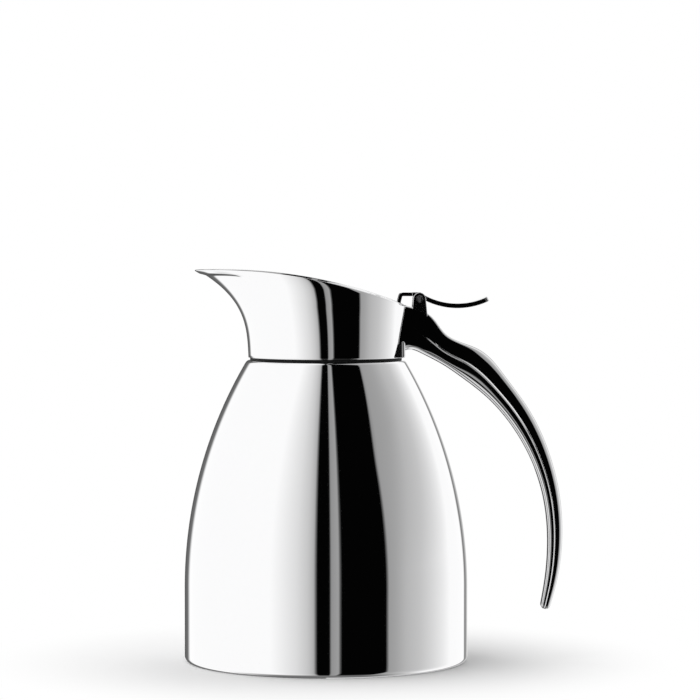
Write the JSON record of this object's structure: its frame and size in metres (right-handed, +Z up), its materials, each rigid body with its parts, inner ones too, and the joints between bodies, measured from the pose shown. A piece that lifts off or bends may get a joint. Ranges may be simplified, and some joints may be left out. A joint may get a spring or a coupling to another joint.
{
  "type": "thermal beverage server",
  "caption": "Polished double-wall server with a curved shoulder, trumpet spout, horn handle and a sprung lid opened by a thumb lever",
  "frame": {"origin": "middle of the foot ring, on the vessel's axis, at the surface it stands on", "axes": "+Z up, spout towards -X, handle towards +X, so a viewer at -Y sees the spout on the left"},
  "size_m": [0.1336, 0.1, 0.1384],
  "materials": {
    "polished_steel": "mirror polished",
    "polished_cast_metal": "mirror polished",
    "brushed_steel": "satin",
    "pin_steel": "turned",
    "spring_steel": "drawn wire",
    "getter_metal": "sintered",
    "black_plastic": "fine grain",
    "black_rubber": "matte",
    "grey_silicone": "satin",
    "white_foam": "foam"
  },
  "bodies": {
    "server": {"outer_shell": "polished_steel", "inner_liner": "brushed_steel", "base_plate": "brushed_steel", "evacuation_plug": "brushed_steel", "getter_cup": "brushed_steel", "getter_pellet": "getter_metal", "neck_ferrule": "brushed_steel", "neck_gasket": "black_rubber", "neck_seal": "grey_silicone", "spout_collar": "polished_steel", "collar_insert": "black_plastic", "handle": "polished_cast_metal", "backing_plate": "brushed_steel", "handle_screws": "brushed_steel", "hinge_pin": "pin_steel", "lid_spring": "spring_steel"},
    "lid": {"lid_cover": "polished_steel", "thumb_lever": "polished_cast_metal", "lever_rivets": "pin_steel", "lid_plug": "black_plastic", "lid_insulation": "white_foam", "lid_stud": "brushed_steel", "lid_nut": "pin_steel", "lid_seal": "grey_silicone"}
  },
  "joints": [
    {"name": "lid_hinge", "type": "hinge", "parent": "server", "child": "lid", "pos_m": [0.0329, 0, 0.12807], "axis": [0, 1, 0], "range_deg": [0, 34], "stiffness_Nm_per_rad": 0.03, "springref_deg": -28.65, "deforming": ["lid_spring"]}
  ]
}
